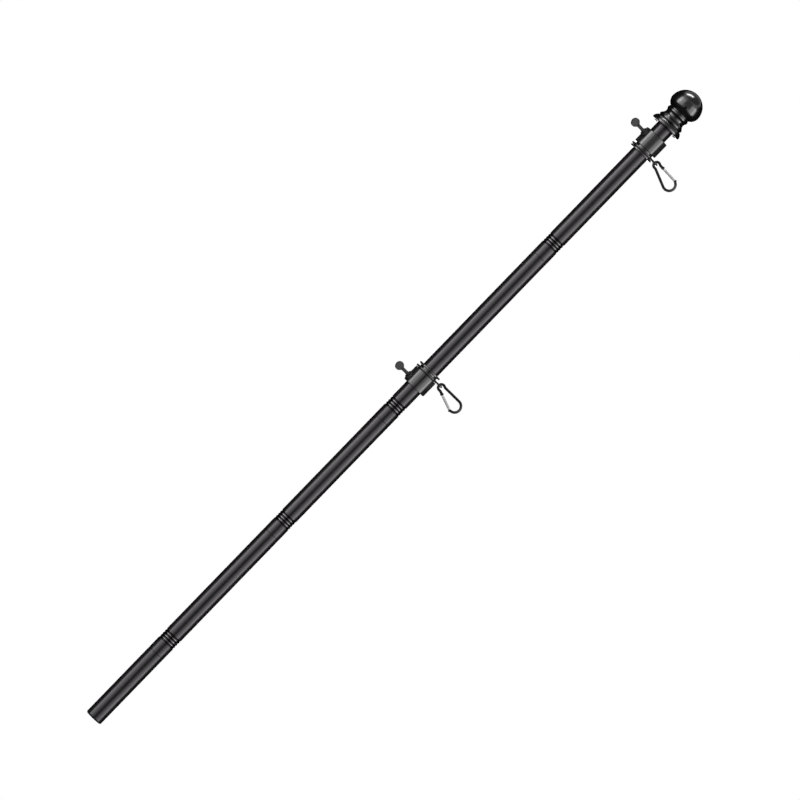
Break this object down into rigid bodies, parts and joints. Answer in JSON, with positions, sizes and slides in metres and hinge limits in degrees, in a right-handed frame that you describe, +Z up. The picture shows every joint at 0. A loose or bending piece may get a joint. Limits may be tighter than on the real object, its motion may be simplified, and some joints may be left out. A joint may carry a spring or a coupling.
{
  "type": "flagpole",
  "caption": "Upright sectional metal flagpole with a ball finial, two sliding swivel collars with thumb screws and small spring clips for a flag.",
  "frame": {"origin": "centre of the flat butt end of the pole, the end that a bracket holds", "axes": "+Z up along the pole's axis towards the ball, +X towards the clips, -Y towards the viewer of the picture"},
  "size_m": [0.1056, 0.0464, 1.1484],
  "materials": {
    "pole_black": "satin",
    "finial_black": "gloss",
    "plug_black": "matte",
    "collar_black": "satin",
    "screw_black": "satin",
    "clip_black": "gloss",
    "gate_steel": "polished"
  },
  "bodies": {
    "pole": {"base_section": "pole_black", "base_plug": "plug_black", "lower_section": "pole_black", "lower_spigot": "pole_black", "middle_section": "pole_black", "middle_spigot": "pole_black", "upper_section": "pole_black", "upper_spigot": "pole_black", "top_section": "pole_black", "top_spigot": "pole_black", "finial_base": "finial_black", "finial_ball": "finial_black"},
    "upper_slider": {"upper_collar": "collar_black", "upper_retainer": "collar_black", "upper_lock_nut": "screw_black"},
    "upper_screw": {"upper_thumb_screw": "screw_black"},
    "upper_swivel": {"upper_ring": "collar_black"},
    "upper_snap_clip": {"upper_clip": "clip_black", "upper_gate_rivet": "gate_steel"},
    "upper_snap_gate": {"upper_gate": "gate_steel"},
    "lower_slider": {"lower_collar": "collar_black", "lower_retainer": "collar_black", "lower_lock_nut": "screw_black"},
    "lower_screw": {"lower_thumb_screw": "screw_black"},
    "lower_swivel": {"lower_ring": "collar_black"},
    "lower_snap_clip": {"lower_clip": "clip_black", "lower_gate_rivet": "gate_steel"},
    "lower_snap_gate": {"lower_gate": "gate_steel"}
  },
  "joints": [
    {"name": "upper_collar_slide", "type": "slide", "parent": "pole", "child": "upper_slider", "axis": [0, 0, 1], "range_m": [-0.15, 0.008]},
    {"name": "upper_screw_turn", "type": "hinge", "parent": "upper_slider", "child": "upper_screw", "pos_m": [-0.01472, -0.0085, 1.0638], "axis": [-0.866, -0.5, 0], "range_deg": [0, 180]},
    {"name": "upper_ring_spin", "type": "hinge", "parent": "upper_slider", "child": "upper_swivel", "pos_m": [0, 0, 1.04395], "axis": [0, 0, 1], "continuous": true},
    {"name": "upper_clip_swing", "type": "hinge", "parent": "upper_swivel", "child": "upper_snap_clip", "pos_m": [0.02585, 0, 1.04395], "axis": [0, 1, 0], "range_deg": [-70, 77]},
    {"name": "upper_gate_swing", "type": "hinge", "parent": "upper_snap_clip", "child": "upper_snap_gate", "pos_m": [0.03834, 0, 1.04647], "axis": [0, 1, 0], "range_deg": [0, 28], "stiffness_Nm_per_rad": 0.01, "springref_deg": -20.05},
    {"name": "lower_collar_slide", "type": "slide", "parent": "pole", "child": "lower_slider", "axis": [0, 0, 1], "range_m": [-0.45, 0.15]},
    {"name": "lower_screw_turn", "type": "hinge", "parent": "lower_slider", "child": "lower_screw", "pos_m": [-0.01472, -0.0085, 0.6168], "axis": [-0.866, -0.5, 0], "range_deg": [0, 180]},
    {"name": "lower_ring_spin", "type": "hinge", "parent": "lower_slider", "child": "lower_swivel", "pos_m": [0, 0, 0.63455], "axis": [0, 0, 1], "continuous": true},
    {"name": "lower_clip_swing", "type": "hinge", "parent": "lower_swivel", "child": "lower_snap_clip", "pos_m": [0.02585, 0, 0.63455], "axis": [0, 1, 0], "range_deg": [-95, 70]},
    {"name": "lower_gate_swing", "type": "hinge", "parent": "lower_snap_clip", "child": "lower_snap_gate", "pos_m": [0.03631, 0, 0.62728], "axis": [0, -1, 0], "range_deg": [0, 28], "stiffness_Nm_per_rad": 0.01, "springref_deg": -20.05}
  ]
}
